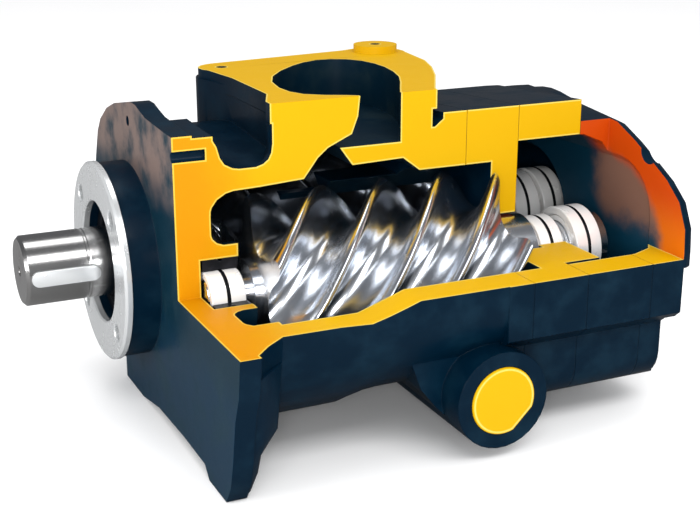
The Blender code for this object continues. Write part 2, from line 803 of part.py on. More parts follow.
def female_rotor(parent):
    """Build the follower: six flutes on a shaft held at both ends. Its parent is on its axis."""
    radii = female_radii(FEMALE_POINTS)
    wrap = -MALE_WRAP * MALE_LOBES / FEMALE_FLUTES
    body = helical("female_rotor", radii, 0.0, wrap, 0.0)
    rotor = part("female_rotor", body, "polished_steel", parent)
    shaft = [
        (58.5, 0.0),
        (58.5, 13.0),
        (59.5, 14.0),
        (ROTOR_START - 4, 14.0),
        (ROTOR_START - 4, 26.0),
        (ROTOR_START + 2, 26.0),
        (ROTOR_START + 8, 20.0),
        (ROTOR_END - 6, 20.0),
        (ROTOR_END - 2, 34.0),
        (351.0, 34.0),
        (352.0, 33.0),
        (352.0, 22.0),
        (416.0, 22.0),
        (416.0, 16.0),
        (430.0, 16.0),
        (431.0, 15.0),
        (431.0, 0.0),
    ]
    add(rotor, helper("female_shaft", turned("fsf", shaft), parent))
    smooth(rotor)
    nut("female_lock_nut", 16.3, 28.0, 416.6, 428.0, parent)


def build():
    """Build the whole machine."""
    origin = make_empty(
        "machine_origin",
        (
            -(SHAFT_TIP_X + COVER_END_X) / 2,
            -(NEAR_SIDE_Y + FAR_SIDE_Y) / 2,
            AXIS_HEIGHT,
        ),
    )
    male_axis = make_empty("male_axis", (0.0, 0.0, 0.0), origin)
    female_axis = make_empty("female_axis", (0.0, -CENTRE_DISTANCE, 0.0), origin)
    opening = window(origin)

    rotor_housing(origin, opening)
    end_plate(origin, opening)
    bearing_case(origin, opening)
    end_cover(origin, opening)
    nose(origin)
    male_rotor(male_axis)
    female_rotor(female_axis)

    fixed_female = make_empty("female_bearing_axis", (0.0, -CENTRE_DISTANCE, 0.0), origin)
    bearing("male_drive_bearing", (30.3, 40.4, 41.0, 50.0), 60.0, 89.0, origin, male_axis)
    bearing(
        "female_drive_bearing",
        (14.3, 20.4, 21.0, 30.0),
        58.5,
        88.0,
        fixed_female,
        female_axis,
        opening,
    )
    bearing(
        "female_discharge_bearing_1",
        (22.3, 25.4, 26.0, 30.0),
        356.0,
        379.0,
        fixed_female,
        female_axis,
    )
    bearing(
        "female_discharge_bearing_2",
        (22.3, 27.4, 28.0, 35.0),
        389.0,
        415.0,
        fixed_female,
        female_axis,
    )
    bearing(
        "male_discharge_bearing_1", (24.3, 29.4, 30.0, 37.0), 406.0, 433.0, origin, male_axis
    )
    bearing(
        "male_discharge_bearing_2", (24.3, 29.4, 30.0, 37.0), 437.0, 461.5, origin, male_axis
    )


clear_scene()
PARTS = make_collection(NAME)
CUTTERS = make_collection("cutters")
FINISHES = {name: make_material(name) for name in MATERIALS}
build()
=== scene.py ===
"""Dress a sectioned rotary screw compressor: castings, rotors, bearings, light and camera.

Sizes are in millimetres from a point on the male shaft's axis near the drive flange, as on a shop
drawing: X runs along the shafts, Y away from the open side and Z up. A Datum turns them into the
model's metres.
"""

from __future__ import annotations

import logging
import math
from collections.abc import Callable, Iterable, Sequence
from dataclasses import dataclass
from enum import Enum, IntEnum

import bpy
import numpy as np
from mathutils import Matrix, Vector

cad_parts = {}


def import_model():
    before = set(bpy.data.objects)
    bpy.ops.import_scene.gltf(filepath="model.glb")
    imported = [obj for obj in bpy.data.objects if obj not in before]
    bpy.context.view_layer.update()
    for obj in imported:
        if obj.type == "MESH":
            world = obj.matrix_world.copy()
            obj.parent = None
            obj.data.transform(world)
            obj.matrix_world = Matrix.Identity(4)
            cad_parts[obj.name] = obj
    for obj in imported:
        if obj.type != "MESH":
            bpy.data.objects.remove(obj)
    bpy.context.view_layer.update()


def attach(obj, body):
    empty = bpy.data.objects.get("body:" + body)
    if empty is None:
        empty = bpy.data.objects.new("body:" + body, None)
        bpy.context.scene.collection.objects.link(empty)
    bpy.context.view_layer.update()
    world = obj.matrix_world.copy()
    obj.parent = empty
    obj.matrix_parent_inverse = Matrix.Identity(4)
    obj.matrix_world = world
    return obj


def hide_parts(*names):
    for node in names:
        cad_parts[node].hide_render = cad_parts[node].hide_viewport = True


LOG = logging.getLogger("air_end")
MM = 0.001
CENTRES = 128.0  # between the two shafts
Triple = tuple[float, float, float]
Colour = Triple
Point = tuple[float, float]
Fields = dict[str | int, object]
Owner = tuple  # a body, a finish slot and the CAD nodes replaced
Rule = Callable[[Vector, Vector], int]  # picks a finish's place from a face's centre and normal
Piece = bpy.types.Object
Value = "float | Signal"


class Body(Enum):
    """The rigid bodies that pieces ride on."""

    HOUSING = "housing"
    MALE = "male_rotor_body"
    FEMALE = "female_rotor_body"


class Slot(Enum):
    """The record's finishes."""

    BODY = "body_paint"
    SECTION = "section_paint"
    MACHINED = "machined_steel"
    POLISHED = "polished_steel"
    SEAL = "seal_black"


class Axis(Enum):
    """The direction a flat outline is pushed along."""

    X = 0
    Y = 1
    Z = 2


class Skin(IntEnum):
    """The places of a casting's finishes; inner and extra differ by casting."""

    BODY = 0
    EDGE = 1
    INNER = 2
    SECTION = 3
    EXTRA = 4


@dataclass(frozen=True)
class Datum:
    """Where the drawing's zero stands in the model, in millimetres."""

    x: float = -212.5
    y: float = 73.25
    z: float = 128.0

    def offset(self) -> Vector:
        """Return the drawing's zero in metres."""
        return Vector((self.x, self.y, self.z)) * MM

    def drawing(self, place: Vector) -> Vector:
        """Return a point of the model in drawing millimetres."""
        return (Vector(place) - self.offset()) / MM


DATUM = Datum()


class Signal:
    """A shader socket that can be used in sums."""

    def __init__(self, graph: Graph, socket: bpy.types.NodeSocket) -> None:
        """Wrap a socket.

        Args:
            graph: The graph that the socket belongs to.
            socket: The output socket.
        """
        self.graph = graph
        self.socket = socket

    def _math(self, operation: str, first: Value, second: Value = 0.0) -> Signal:
        """Return a Math node of this operation on two values."""
        return self.graph.node("ShaderNodeMath", {"operation": operation}, {0: first, 1: second})

    def __add__(self, other: Value) -> Signal:
        """Return the sum."""
        return self._math("ADD", self, other)

    def __sub__(self, other: Value) -> Signal:
        """Return the difference."""
        return self._math("SUBTRACT", self, other)

    def __mul__(self, other: Value) -> Signal:
        """Return the product."""
        return self._math("MULTIPLY", self, other)

    def root(self) -> Signal:
        """Return the square root."""
        return self._math("SQRT", self)

    def ramp(self, low: float, high: float) -> Signal:
        """Return the value carried smoothly to a range from 0 to 1, and held there.

        Args:
            low: The value that gives 0.
            high: The value that gives 1.

        Returns:
            The carried value.
        """
        settings = {"interpolation_type": "SMOOTHSTEP", "clamp": True}
        return self.graph.node("ShaderNodeMapRange", settings, {0: self, 1: low, 2: high})


class Graph:
    """A material's nodes, with its Principled shader at hand."""

    def __init__(self, name: str) -> None:
        """Start a material.

        Args:
            name: The material's name.
        """
        self.material = bpy.data.materials.new(name)
        self.material.use_nodes = True
        self.tree = self.material.node_tree
        self.shader = self.tree.nodes["Principled BSDF"]

    def node(self, kind: str, settings: Fields, values: Fields, out: str | int = 0) -> Signal:
        """Add a node.

        Args:
            kind: The node's type.
            settings: Its properties, which are set first.
            values: The numbers or signals of its sockets, by name or place.
            out: The output to return.

        Returns:
            That output as a signal.
        """
        made = self.tree.nodes.new(kind)
        for key, value in settings.items():
            setattr(made, key, value)
        for key, value in values.items():
            self.feed(made.inputs[key], value)
        return Signal(self, made.outputs[out])

    def feed(self, socket: bpy.types.NodeSocket, value: object) -> None:
        """Link or set one socket.

        Args:
            socket: The input socket.
            value: A signal to link, or the value to set.
        """
        if isinstance(value, Signal):
            self.tree.links.new(value.socket, socket)
        else:
            socket.default_value = value

    def set(self, values: Fields) -> None:
        """Link or set the Principled shader's sockets."""
        for key, value in values.items():
            self.feed(self.shader.inputs[key], value)

    def place(self) -> Signal:
        """Return the object coordinates."""
        return self.node("ShaderNodeTexCoord", {}, {}, "Object")

    def along(self, axis: Axis) -> Signal:
        """Return one object coordinate in metres."""
        return self.node("ShaderNodeSeparateXYZ", {}, {0: self.place()}, axis.value)

    def measure(self, axis: Axis) -> Signal:
        """Return one object coordinate in drawing millimetres."""
        return self.along(axis) * (1.0 / MM) - (DATUM.x, DATUM.y, DATUM.z)[axis.value]

    def noise(self, size_mm: float, detail: float = 4.0, rough: float = 0.55) -> Signal:
        """Return a noise of this feature size."""
        values = {"Scale": 1.0 / MM / size_mm, "Detail": detail, "Roughness": rough}
        return self.node("ShaderNodeTexNoise", {}, {"Vector": self.place(), **values}, "Fac")

    def blend(self, mask: Value, first: object, second: object) -> Signal:
        """Return a colour between two others.

        Args:
            mask: 0 gives the first colour and 1 the second.
            first: A colour or signal.
            second: A colour or signal.

        Returns:
            The mixed colour.
        """
        made = self.tree.nodes.new("ShaderNodeMix")
        made.data_type = "RGBA"
        for key, value in ((0, mask), (6, first), (7, second)):
            self.feed(made.inputs[key], (*value, 1.0) if isinstance(value, tuple) else value)
        return Signal(self, made.outputs[2])

    def bump(self, height: Signal, depth_mm: float, strength: float, edge_mm: float) -> Signal:
        """Return a normal raised by a height and rounded over sharp edges.

        Args:
            height: The height, from 0 to 1.
            depth_mm: What 1 stands for.
            strength: How much of it shows.
            edge_mm: The radius over sharp edges, or 0 to leave them.

        Returns:
            The normal.
        """
        values = {"Height": height, "Distance": depth_mm * MM, "Strength": strength}
        if edge_mm:
            radius = {"Radius": edge_mm * MM}
            values["Normal"] = self.node("ShaderNodeBevel", {"samples": 6}, radius)
        return self.node("ShaderNodeBump", {}, values, "Normal")


def light(colour: Colour) -> Colour:
    """Return a screen colour, 0 to 255, as linear light."""
    parts = (part / 255 for part in colour)
    return tuple(v / 12.92 if v <= 0.04045 else ((v + 0.055) / 1.055) ** 2.4 for v in parts)


@dataclass(frozen=True)
class Finish:
    """A finish that is made into a material once."""

    name: str

    def material(self) -> bpy.types.Material:
        """Return the material, made when it is first asked for."""
        return bpy.data.materials.get(self.name) or self.make()

    def make(self) -> bpy.types.Material:
        """Make the material."""
        raise NotImplementedError


@dataclass(frozen=True)
class CastPaint(Finish):
    """Thick gloss paint over a sand-cast skin, dusty in places."""

    colour: Colour
    worn: Colour
    roughness: float = 0.34
    coat: float = 0.04
    specular: float = 0.1
    dust_mm: float = 34.0
    dusty: Point = (0.42, 0.75)
    grain_mm: float = 1.6
    waves_mm: float = 14.4
    depth_mm: float = 0.18
    edge_mm: float = 1.6

    def make(self) -> bpy.types.Material:
        """Make the material."""
        graph = Graph(self.name)
        dust = graph.noise(self.dust_mm, 5.0, 0.6).ramp(*self.dusty)
        grain = graph.noise(self.grain_mm, 3.0, 0.5)
        waves = graph.noise(self.waves_mm, 2.0, 0.4)
        height = grain * 0.4 + waves * 0.6
        graph.set(
            {
                "Base Color": graph.blend(dust, self.tint(graph), light(self.worn)),
                "Roughness": dust * 0.12 + grain * 0.08 + (self.roughness - 0.04),
                "Coat Weight": self.coat,
                "Coat Roughness": 0.12,
                "Specular IOR Level": self.specular,
                "Normal": graph.bump(height, self.depth_mm, 0.55, self.edge_mm),
            }
        )
        return graph.material

    def tint(self, graph: Graph) -> object:
        """Return the clean paint's colour."""
        return light(self.colour)


@dataclass(frozen=True)
class FlangePaint(CastPaint):
    """The drive flange's paint, with painted reflection: browner round the lifting lug, bluer at
    the feet.
    """

    # painted reflection on the glossy face: brown-grey round the top lug, blue at the feet
    lug: Colour = (112, 96, 90)
    foot: Colour = (10, 42, 62)
    reflection_lug_z: Point = (62.0, 96.0)
    reflection_foot_z: Point = (-12.0, -48.0)
    cloud_mm: float = 40.0
    wander_mm: float = 30.0

    def tint(self, graph: Graph) -> object:
        """Return the paint's colour with painted reflection that changes with height.

        Args:
            graph: The material's nodes.

        Returns:
            The colour.
        """
        wander = (graph.noise(self.cloud_mm, 3.0) - 0.5) * self.wander_mm
        up = graph.measure(Axis.Z) + wander
        # painted reflection blended in by height: blue low down, brown-grey high up
        low = graph.blend(up.ramp(*self.reflection_foot_z), light(self.colour), light(self.foot))
        return graph.blend(up.ramp(*self.reflection_lug_z), low, light(self.lug))


@dataclass(frozen=True)
class CutPaint(Finish):
    """Brushed-on paint of the cut faces, warmer towards the drive end; a pale copy is the painted
    highlight on their edges.
    """

    warm: Colour
    bright: Colour
    change_x: Point
    cloud_mm: float = 26.0
    grain_mm: float = 0.9
    depth_mm: float = 0.12
    edge_mm: float = 0.9

    def make(self) -> bpy.types.Material:
        """Make the material."""
        graph = Graph(self.name)
        along = graph.along(Axis.X).ramp(*((x + DATUM.x) * MM for x in self.change_x))
        cloud = graph.noise(self.cloud_mm, 4.0, 0.6)
        grain = graph.noise(self.grain_mm, 2.0, 0.5)
        mask = (along + (cloud - 0.5) * 0.5).ramp(0.0, 1.0)
        height = grain * 0.5 + cloud * 0.5
        graph.set(
            {
                "Base Color": graph.blend(mask, light(self.warm), light(self.bright)),
                "Roughness": cloud * 0.2 + 0.36,
                "Specular IOR Level": 0.1,
                "Normal": graph.bump(height, self.depth_mm, 0.4, self.edge_mm),
            }
        )
        return graph.material


@dataclass(frozen=True)
class CoverInside(Finish):
    """The dish of the end cover: orange at its cut rim, then brown-grey, then dark, as painted
    light and shade of the hollow.
    """

    rim: Colour = (180, 62, 3)
    # painted light: a lighter orange low on the rim
    bright: Colour = (198, 98, 5)
    # painted light and shade of the hollow: brown-grey, then dark
    middle: Colour = (112, 82, 70)
    deep: Colour = (8, 52, 72)
    centre_y: float = -122.0
    across_scale: float = 0.0100  # one over the dish's half width
    up_scale: float = 0.0112  # one over its height
    wander_mm: float = 26.0
    ragged: float = 0.14
    lit_band: Point = (0.75, 0.2)
    rim_reach: Point = (0.98, 0.82)
    shade_low_reach: Point = (0.94, 0.78)
    shade_low_z: Point = (44.0, 8.0)
    shade_far_y: Point = (-126.0, -92.0)
    cloud_mm: float = 20.0
    grain_mm: float = 1.2
    depth_mm: float = 0.14
    edge_mm: float = 1.2

    def make(self) -> bpy.types.Material:
        """Make the material."""
        graph = Graph(self.name)
        depth = graph.measure(Axis.Y)
        height = graph.measure(Axis.Z)
        across = (depth - self.centre_y) * self.across_scale
        up = height * self.up_scale
        cloud = graph.noise(self.cloud_mm, 4.0, 0.6)
        grain = graph.noise(self.grain_mm, 3.0, 0.5)
        wander = (cloud - 0.5) * self.wander_mm
        reach = (across * across + up * up).root() + (cloud - 0.5) * self.ragged
        # painted light: the rim's orange lighter lower down
        low = graph.blend(up.ramp(*self.lit_band), light(self.rim), light(self.bright))
        first = graph.blend(reach.ramp(*self.rim_reach), low, light(self.middle))
        # painted shade: darker towards the back and the bottom of the dish
        far = (depth + wander).ramp(*self.shade_far_y)
        shade_under = (height + wander).ramp(*self.shade_low_z) * reach.ramp(*self.shade_low_reach)
        dark = (far + shade_under).ramp(0.0, 1.0)
        graph.set(
            {
                "Base Color": graph.blend(dark, first, light(self.deep)),
                "Roughness": cloud * 0.2 + 0.4,
                "Specular IOR Level": 0.12,
                "Normal": graph.bump(grain, self.depth_mm, 0.5, self.edge_mm),
            }
        )
        return graph.material


@dataclass(frozen=True)
class Steel(Finish):
    """Bare steel with fine tool marks that circle a shaft."""

    colour: Colour
    roughness: float
    lay_mm: float
    depth_mm: float
    centre_y: float = 0.0
    edge_mm: float = 0.5
    stain: Colour = (0.30, 0.27, 0.25)
    stained: float = 0.10
    stain_mm: float = 22.0
    metallic: float = 1.0

    def make(self) -> bpy.types.Material:
        """Make the material."""
        graph = Graph(self.name)
        across = graph.along(Axis.Y) - (self.centre_y + DATUM.y) * MM
        up = graph.along(Axis.Z) - DATUM.z * MM
        radius = (across * across + up * up).root()
        flat = graph.node("ShaderNodeCombineXYZ", {}, {0: radius, 1: graph.along(Axis.X)})
        scale = 1.0 / MM / self.lay_mm
        values = {"Vector": flat, "Scale": scale, "Detail": 2.0, "Roughness": 0.6}
        lay = graph.node("ShaderNodeTexNoise", {"noise_dimensions": "2D"}, values, "Fac")
        marks = graph.noise(self.stain_mm, 5.0, 0.62).ramp(0.52, 0.78)
        graph.set(
            {
                "Base Color": graph.blend(marks * self.stained, self.colour, self.stain),
                "Metallic": self.metallic,
                "Roughness": lay * 0.06 + marks * 0.10 + (self.roughness - 0.03),
                "Normal": graph.bump(lay, self.depth_mm, 0.6, self.edge_mm),
            }
        )
        return graph.material


class Palette:
    """The finishes of the machine."""

    DRIVE_END = (30.0, 140.0)
    # near-white steel with little metal: painted light on the bearings in the shaded case
    RACE = (0.95, 0.94, 0.92)
    body = CastPaint("navy_gloss", (0, 22, 38), (6, 34, 50))
    flange = FlangePaint("flange_paint", (10, 40, 54), (24, 50, 62), coat=0.06)
    inside = CastPaint("inner_casting", (4, 28, 42), (20, 38, 46), 0.4)
    # the case's navy paint made lighter: painted light in the shaded bearing space
    cavity_painted_light = CastPaint("bearing_space_painted_light", (40, 96, 120), (66, 104, 120), 0.4)
    seal = CastPaint("seal_carrier_black", (16, 18, 22), (40, 40, 44), 0.36)
    section = CutPaint("section_yellow", (194, 127, 0), (197, 153, 0), DRIVE_END)
    # painted highlight: the pale line along the edges of the cut faces
    edge = CutPaint("edge_highlight_yellow", (208, 172, 62), (210, 184, 84), DRIVE_END)
    rust = CutPaint("rust_film", (170, 70, 30), (110, 50, 34), (300.0, 400.0))
    cover = CoverInside("cover_orange")
    # the male rotor's steel is painted darker than the female's: painted shade of the rotor at the
    # back
    rotor_male_shaded = Steel("rotor_steel_male_shaded", (0.50, 0.53, 0.58), 0.2, 1.4, 0.002, edge_mm=0.0)
    rotor_female = Steel(
        "rotor_steel_female", (0.74, 0.77, 0.82), 0.22, 1.4, 0.002, -CENTRES, edge_mm=0.0
    )
    ring = Steel("ring_steel", (0.86, 0.88, 0.89), 0.24, 0.55, 0.02, metallic=0.65)
    turned = Steel("turned_steel", (0.52, 0.515, 0.51), 0.2, 0.5, 0.02, stained=0.5)
    # painted light: the male races less metallic, so lighter, than the female ones
    race_male_lit = Steel("race_steel_male_lit", RACE, 0.24, 0.8, 0.006, metallic=0.15)
    race_female_lit = Steel("race_steel_female_lit", RACE, 0.24, 0.8, 0.006, -CENTRES, metallic=0.3)
    race_dark = Steel("race_steel_dark", (0.16, 0.17, 0.19), 0.3, 0.8, 0.006, -CENTRES)


class Bench:
    """The modelling tools, each a short run of Blender operators."""

    MERGE = 0.000002
    CAD_MERGE = 0.00002
    FLAT = math.radians(0.6)

    @staticmethod
    def deselect() -> None:
        """Leave nothing selected."""
        if bpy.context.mode != "OBJECT":
            bpy.ops.object.mode_set(mode="OBJECT")
        bpy.ops.object.select_all(action="DESELECT")

    @staticmethod
    def pick(piece: Piece) -> None:
        """Select one piece and make it active."""
        Bench.deselect()
        piece.select_set(True)
        bpy.context.view_layer.objects.active = piece

    @staticmethod
    def edit(piece: Piece) -> None:
        """Open a piece in edit mode with all of it selected."""
        Bench.pick(piece)
        bpy.ops.object.mode_set(mode="EDIT")
        bpy.ops.mesh.select_all(action="SELECT")

    @staticmethod
    def close(piece: Piece) -> Piece:
        """Merge doubles, turn the faces outwards and leave edit mode.

        Args:
            piece: The piece, open in edit mode.

        Returns:
            The same piece.
        """
        bpy.ops.mesh.select_all(action="SELECT")
        bpy.ops.mesh.remove_doubles(threshold=Bench.MERGE)
        bpy.ops.mesh.delete_loose(use_verts=True, use_edges=True, use_faces=False)
        bpy.ops.mesh.select_all(action="SELECT")
        bpy.ops.mesh.normals_make_consistent(inside=False)
        bpy.ops.object.mode_set(mode="OBJECT")
        return piece

    @staticmethod
    def loop(name: str, corners: Iterable[Triple], filled: bool) -> Piece:
        """Add a circle and move its corners to an outline.

        Args:
            name: The piece's name.
            corners: The outline in drawing millimetres.
            filled: Whether it gets a face.

        Returns:
            The new piece, open in edit mode.
        """
        places = [Vector(corner) * MM for corner in corners]
        Bench.deselect()
        bpy.ops.mesh.primitive_circle_add(
            vertices=len(places), radius=MM, fill_type="NGON" if filled else "NOTHING"
        )
        piece = bpy.context.object
        piece.name = name
        for vertex, place in zip(piece.data.vertices, places):
            vertex.co = place
        Bench.edit(piece)
        return piece

    @staticmethod
    def lathe(
        name: str, profile: Sequence[Point], centre: Point = (0.0, 0.0), steps: int = 128
    ) -> Piece:
        """Spin a closed outline of (x, radius) points round an axis along X.

        Args:
            name: The piece's name.
            profile: The outline; points of radius 0 lie on the axis.
            centre: The axis's y and z.
            steps: The facets round it.

        Returns:
            The closed piece.
        """
        corners = [(x, centre[0], centre[1] + r) for x, r in profile]
        piece = Bench.loop(name, corners, False)
        pivot = (0.0, centre[0] * MM, centre[1] * MM)
        bpy.ops.mesh.spin(steps=steps, angle=math.tau, center=pivot, axis=(1.0, 0.0, 0.0))
        return Bench.close(piece)

    @staticmethod
    def prism(name: str, outline: Sequence[Point], axis: Axis, low: float, high: float) -> Piece:
        """Push a flat outline along an axis.

        Args:
            name: The piece's name.
            outline: The points, in the order of the two other axes.
            axis: The direction of the push.
            low: Where it starts.
            high: Where it ends.

        Returns:
            The closed piece.
        """
        k = axis.value
        piece = Bench.loop(name, [(*point[:k], low, *point[k:]) for point in outline], True)
        step = [0.0, 0.0, 0.0]
        step[k] = (high - low) * MM
        bpy.ops.mesh.extrude_region_move(TRANSFORM_OT_translate={"value": step})
        return Bench.close(piece)

    @staticmethod
    def apply(piece: Piece, kind: str, **settings: object) -> Piece:
        """Add a modifier and apply it.

        Args:
            piece: The piece to change.
            kind: The modifier's type.
            **settings: Its properties.

        Returns:
            The same piece.
        """
        Bench.pick(piece)
        modifier = piece.modifiers.new(kind.lower(), kind)
        for key, value in settings.items():
            setattr(modifier, key, value)
        bpy.ops.object.modifier_apply(modifier=modifier.name)
        return piece

    @staticmethod
    def cut(piece: Piece, tool: Piece, operation: str = "DIFFERENCE") -> Piece:
        """Cut a tool out of a piece, or fuse it on, and throw the tool away.

        Args:
            piece: The piece to change.
            tool: The other piece.
            operation: "DIFFERENCE" to cut or "UNION" to fuse.

        Returns:
            The changed piece.
        """
        Bench.apply(piece, "BOOLEAN", operation=operation, solver="EXACT", object=tool)
        bpy.data.objects.remove(tool)
        return piece

    @staticmethod
    def twin(piece: Piece, step: Triple) -> Piece:
        """Copy a piece, with a mesh of its own, and move the copy.

        Args:
            piece: The piece.
            step: How far the copy goes, in millimetres.

        Returns:
            The copy.
        """
        Bench.pick(piece)
        bpy.ops.object.duplicate(linked=False)
        made = bpy.context.object
        bpy.ops.transform.translate(value=Vector(step) * MM)
        bpy.ops.object.transform_apply(location=True, rotation=True, scale=True)
        return made

    @staticmethod
    def bevel(piece: Piece, width: float, segments: int, angle: float) -> Piece:
        """Round the edges that are sharper than an angle."""
        limit = {"limit_method": "ANGLE", "angle_limit": math.radians(angle)}
        return Bench.apply(piece, "BEVEL", width=width * MM, segments=segments, **limit)

    @staticmethod
    def copy_of(node: str, name: str) -> Piece:
        """Copy a CAD node with its triangles merged into flat faces.

        Args:
            node: The CAD node.
            name: The new piece's name.

        Returns:
            The copy.
        """
        source = bpy.data.objects[node]
        piece = bpy.data.objects.new(name, source.data.copy())
        bpy.context.scene.collection.objects.link(piece)
        piece.data.materials.clear()
        Bench.edit(piece)
        bpy.ops.mesh.customdata_custom_splitnormals_clear()
        bpy.ops.mesh.remove_doubles(threshold=Bench.CAD_MERGE)
        bpy.ops.mesh.dissolve_limited(angle_limit=Bench.FLAT)
        bpy.ops.object.mode_set(mode="OBJECT")
        return piece

    @staticmethod
    def dress(piece: Piece, finishes: Sequence[Finish], rule: Rule | None = None) -> None:
        """Give a piece its finishes, face by face.

        Args:
            piece: The piece.
            finishes: The finishes in order.
            rule: Picks among them, or None for the first.
        """
        piece.data.materials.clear()
        for finish in finishes:
            piece.data.materials.append(finish.material())
        for face in piece.data.polygons:
            face.material_index = int(rule(face.center, face.normal)) if rule else 0

    @staticmethod
    def outline_faces(piece: Piece, slot: int, inner: int, width: float) -> None:
        """Draw a line round the faces of one finish by insetting them.

        Args:
            piece: The piece.
            slot: The place of the finish that keeps the line.
            inner: The place of the finish that the middle gets.
            width: The line's width.
        """
        Bench.edit(piece)
        bpy.ops.mesh.select_all(action="DESELECT")
        piece.active_material_index = slot
        bpy.ops.object.material_slot_select()
        bpy.ops.mesh.inset(thickness=width * MM, use_even_offset=True, use_boundary=True)
        piece.active_material_index = inner
        bpy.ops.object.material_slot_assign()
        bpy.ops.object.mode_set(mode="OBJECT")

    @staticmethod
    def smooth(piece: Piece, angle: float = 32.0) -> None:
        """Shade round faces smooth and leave the sharp edges."""
        Bench.pick(piece)
        bpy.ops.object.shade_smooth_by_angle(angle=math.radians(angle))

    @staticmethod
    def move_to_datum(piece: Piece) -> None:
        """Move a piece's mesh from the drawing's zero to its place in the model."""
        Bench.pick(piece)
        bpy.ops.transform.translate(value=DATUM.offset())
        bpy.ops.object.transform_apply(location=True, rotation=True, scale=True)

    @staticmethod
    def hand_over(piece: Piece, body: Body, slot: Slot, *nodes: str) -> None:
        """Let a piece ride on a body and stand for CAD nodes.

        Args:
            piece: The finished piece.
            body: The body it moves with.
            slot: The record's finish; not used.
            nodes: The CAD nodes that it replaces.
        """
        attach(piece, body.value)
        if nodes:
            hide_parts(*nodes)
        LOG.info("%s: %d faces on %s", piece.name, len(piece.data.polygons), body.value)

    @staticmethod
    def complete(
        piece: Piece,
        finishes: Sequence[Finish],
        owner: Owner,
        rule: Rule | None = None,
        angle: float = 32.0,
    ) -> None:
        """Move a turned or pushed piece to its place, dress it and hand it over.

        Args:
            piece: The piece.
            finishes: The finishes in order.
            owner: Its body, the record's finish and the CAD nodes that it replaces.
            rule: Picks among them, or None for the first.
            angle: Edges sharper than this stay sharp.
        """
        Bench.move_to_datum(piece)
        Bench.dress(piece, finishes, rule)
        Bench.smooth(piece, angle)
        Bench.hand_over(piece, *owner)


def arc(centre: Point, radius: float, start: float, end: float, steps: int) -> list[Point]:
    """Return points on an arc, its angles in degrees."""
    angles = np.radians(np.linspace(start, end, steps + 1))
    return [(centre[0] + radius * math.cos(a), centre[1] + radius * math.sin(a)) for a in angles]


def slot_outline(first: float, last: float, radius: float, steps: int) -> list[Point]:
    """Return the outline of a slot along X, with round ends at two places."""
    return arc((first, 0), radius, 90, 270, steps) + arc((last, 0), radius, -90, 90, steps)


def within(value: float, limits: Point) -> bool:
    """Tell whether a value lies between two limits."""
    return limits[0] < value < limits[1]


